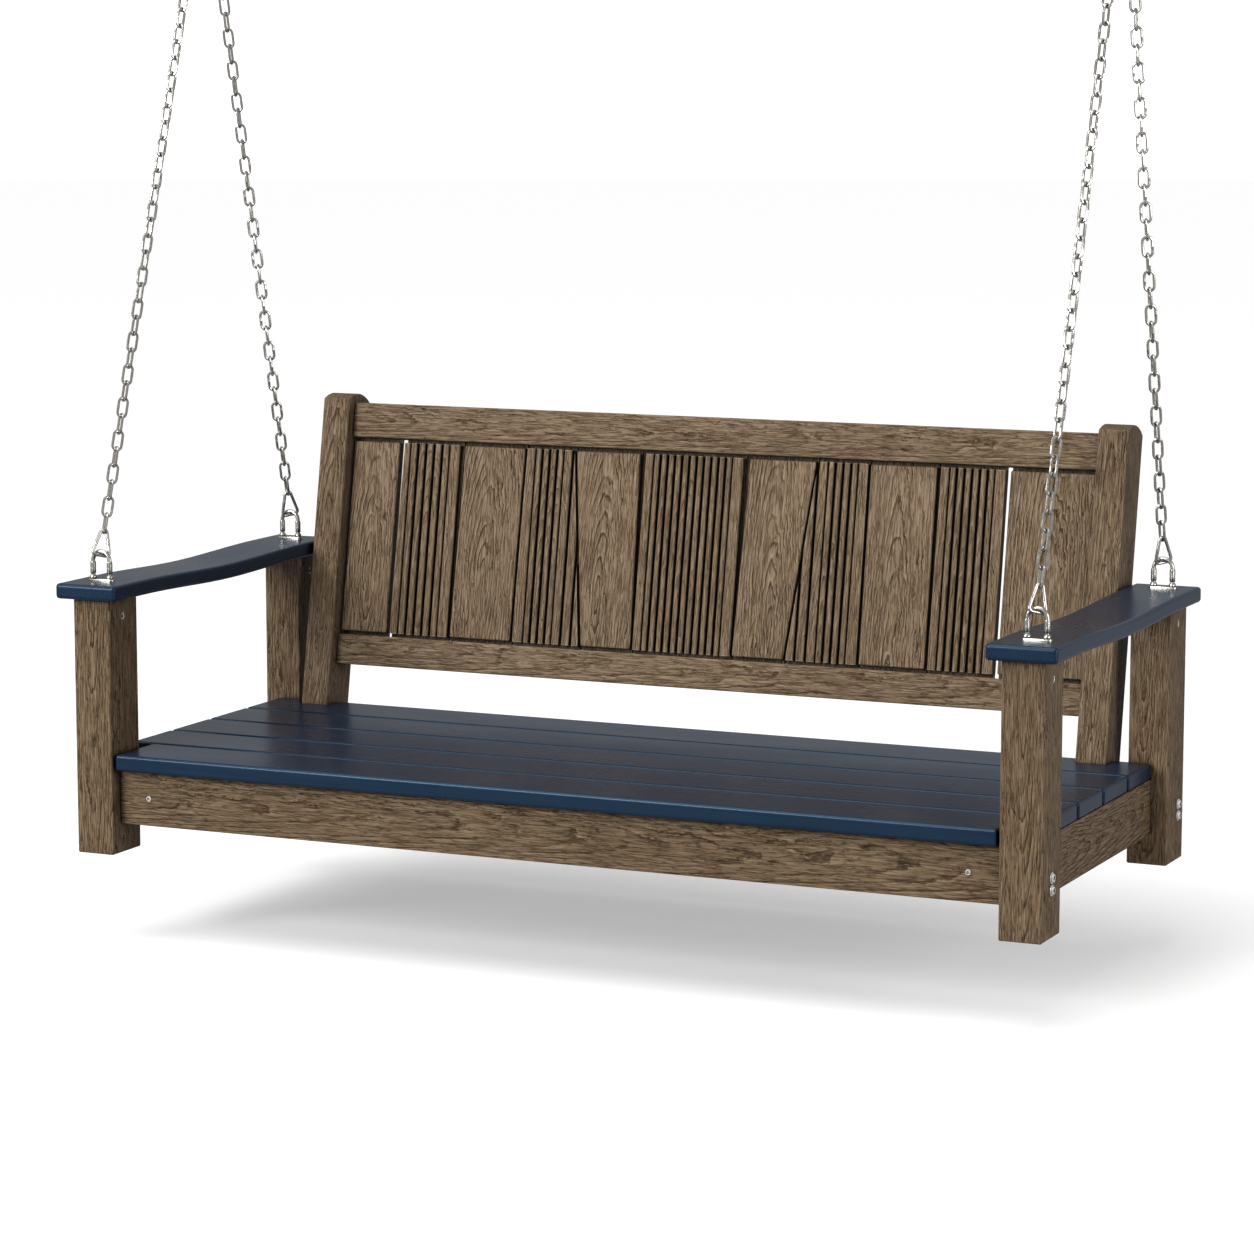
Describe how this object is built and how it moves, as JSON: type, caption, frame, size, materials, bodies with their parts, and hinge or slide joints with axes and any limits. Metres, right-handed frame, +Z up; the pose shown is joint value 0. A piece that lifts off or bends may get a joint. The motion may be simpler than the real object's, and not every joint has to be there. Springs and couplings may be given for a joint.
{
  "type": "porch swing",
  "caption": "Two-tone slatted porch swing with raked panel back and contoured armrests, hung on four chains from two pivoting ceiling brackets.",
  "frame": {"origin": "centre of the rectangle of four ceiling screw holes, on the ceiling plane", "axes": "+X to the right as seen from the front, +Y to the back, +Z up; the seat hangs below the origin"},
  "size_m": [1.724, 0.7856, 1.7323],
  "materials": {
    "brown_lumber": "embossed wood grain, satin",
    "navy_lumber": "smooth satin with eased edges",
    "zinc_steel": "zinc plated",
    "nylon": "moulded"
  },
  "bodies": {
    "ceiling": {"left_ceiling_bracket": "zinc_steel", "right_ceiling_bracket": "zinc_steel", "pivot_bolts": "zinc_steel", "pivot_nuts": "zinc_steel"},
    "swing": {"apron_screws": "zinc_steel", "back_plank_1": "brown_lumber", "back_plank_2": "brown_lumber", "back_plank_3": "brown_lumber", "back_plank_4": "brown_lumber", "back_plank_5": "brown_lumber", "back_plank_6": "brown_lumber", "bottom_back_rail": "brown_lumber", "chain_rings": "zinc_steel", "cleat_screws": "zinc_steel", "cross_dowels": "zinc_steel", "front_apron": "brown_lumber", "left_armrest": "navy_lumber", "left_back_stile": "brown_lumber", "left_cleat": "brown_lumber", "left_end_joist": "brown_lumber", "left_front_chain": "zinc_steel", "left_front_post": "brown_lumber", "left_rear_chain": "zinc_steel", "left_rear_post": "brown_lumber", "left_side_apron": "brown_lumber", "left_swivel_lug": "zinc_steel", "pivot_bushes": "nylon", "post_bolt_washers": "zinc_steel", "post_bolts": "zinc_steel", "rear_apron": "brown_lumber", "reeded_board_1": "brown_lumber", "reeded_board_2": "brown_lumber", "reeded_board_3": "brown_lumber", "reeded_board_4": "brown_lumber", "reeded_board_5": "brown_lumber", "right_armrest": "navy_lumber", "right_back_stile": "brown_lumber", "right_cleat": "brown_lumber", "right_end_joist": "brown_lumber", "right_front_chain": "zinc_steel", "right_front_post": "brown_lumber", "right_rear_chain": "zinc_steel", "right_rear_post": "brown_lumber", "right_side_apron": "brown_lumber", "right_swivel_lug": "zinc_steel", "seat_joist_1": "brown_lumber", "seat_joist_2": "brown_lumber", "seat_slat_1": "navy_lumber", "seat_slat_2": "navy_lumber", "seat_slat_3": "navy_lumber", "seat_slat_4": "navy_lumber", "seat_slat_5": "navy_lumber", "slat_screws": "zinc_steel", "stile_bolts": "zinc_steel", "top_back_rail": "brown_lumber", "triangle_links": "zinc_steel", "u_bolt_nuts": "zinc_steel", "u_bolt_sleeves": "zinc_steel", "u_bolt_straps": "zinc_steel", "u_bolts": "zinc_steel"}
  },
  "joints": [
    {"name": "swing_pivot", "type": "hinge", "parent": "ceiling", "child": "swing", "pos_m": [0, 0, -0.028], "axis": [1, 0, 0], "range_deg": [-25, 25]}
  ]
}
